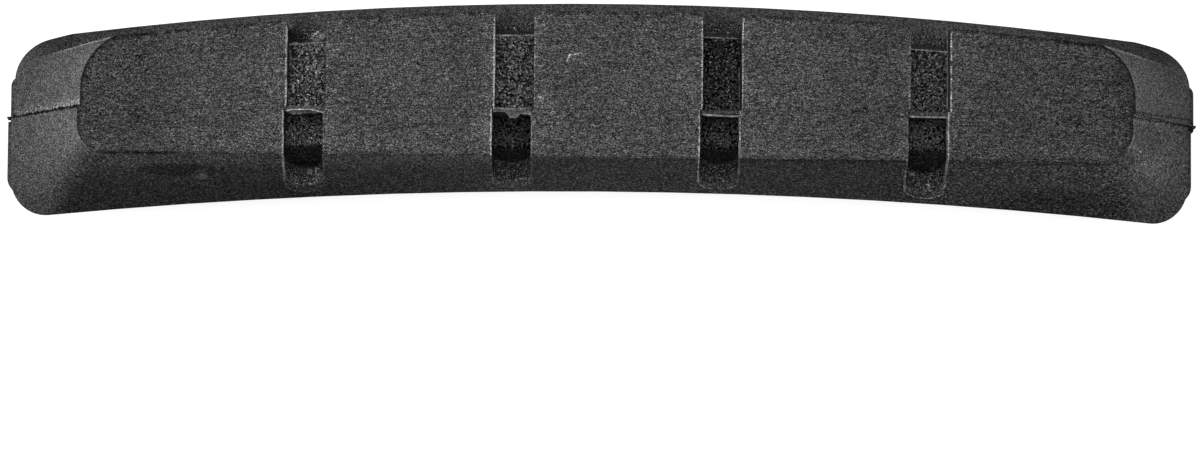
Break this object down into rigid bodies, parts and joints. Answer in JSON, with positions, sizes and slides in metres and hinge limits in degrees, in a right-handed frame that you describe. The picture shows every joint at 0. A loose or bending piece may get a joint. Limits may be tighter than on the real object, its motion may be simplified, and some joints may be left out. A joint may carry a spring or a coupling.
{
  "type": "bicycle rim brake pad",
  "caption": "Curved moulded rubber insert for a cartridge brake shoe, with a slotted flat friction face, sloped ends and a T-shaped rail with a retaining-pin groove on its back.",
  "frame": {"origin": "on the flat back of the rail, at mid-length on the rail's centre line", "axes": "+X along the pad, +Y towards the convex outer edge, +Z out of the friction face"},
  "size_m": [0.072, 0.0129, 0.0094],
  "materials": {
    "rubber": "matte moulded black rubber, ground dull grey-black on the friction face"
  },
  "bodies": {
    "root": {"brake_pad": "rubber"}
  },
  "joints": []
}
